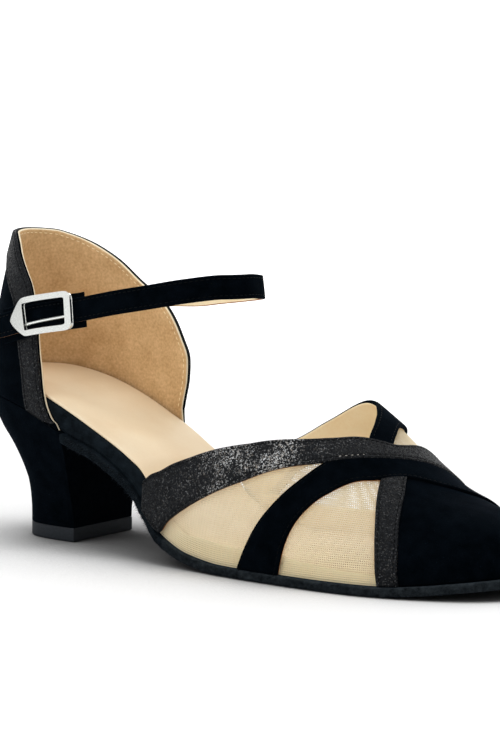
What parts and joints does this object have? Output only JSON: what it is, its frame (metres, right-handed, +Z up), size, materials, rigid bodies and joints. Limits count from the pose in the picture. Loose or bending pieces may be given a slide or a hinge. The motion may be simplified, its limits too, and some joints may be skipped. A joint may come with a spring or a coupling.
{
  "type": "ballroom dance shoe",
  "caption": "Women's ballroom dance shoe for the right foot: closed toe, open waist, covered heel, net windows, glitter bands and a buckled ankle strap.",
  "frame": {"origin": "middle of the heel's ground face", "axes": "+X toward the toe, +Y toward the inner side of the foot, +Z up; the floor is z = 0"},
  "size_m": [0.2242, 0.0789, 0.1111],
  "materials": {
    "suede": "black suede, soft nap",
    "glitter_leather": "black leather with fine silver and bronze glitter",
    "sole_suede": "brushed dark sole suede",
    "heel_cover": "suede covered heel",
    "rubber": "dark grey, matt",
    "insole_leather": "cream, smooth",
    "board_wrap": "black suede wrap",
    "net": "beige see-through net",
    "buckle_metal": "polished silver colour"
  },
  "bodies": {
    "root": {"outsole": "sole_suede", "insole_board": "board_wrap", "insole_sock": "insole_leather", "heel": "heel_cover", "heel_top_piece": "rubber", "quarter": "suede", "quarter_facing": "glitter_leather", "vamp": "suede", "rear_mesh": "net", "front_mesh": "net", "inner_mesh": "net", "glitter_throat_band": "glitter_leather", "suede_band": "suede", "glitter_strip": "glitter_leather", "inner_suede_band": "suede", "ankle_strap": "suede", "buckle_chape": "suede", "buckle": "buckle_metal", "buckle_prong": "buckle_metal"}
  },
  "joints": []
}
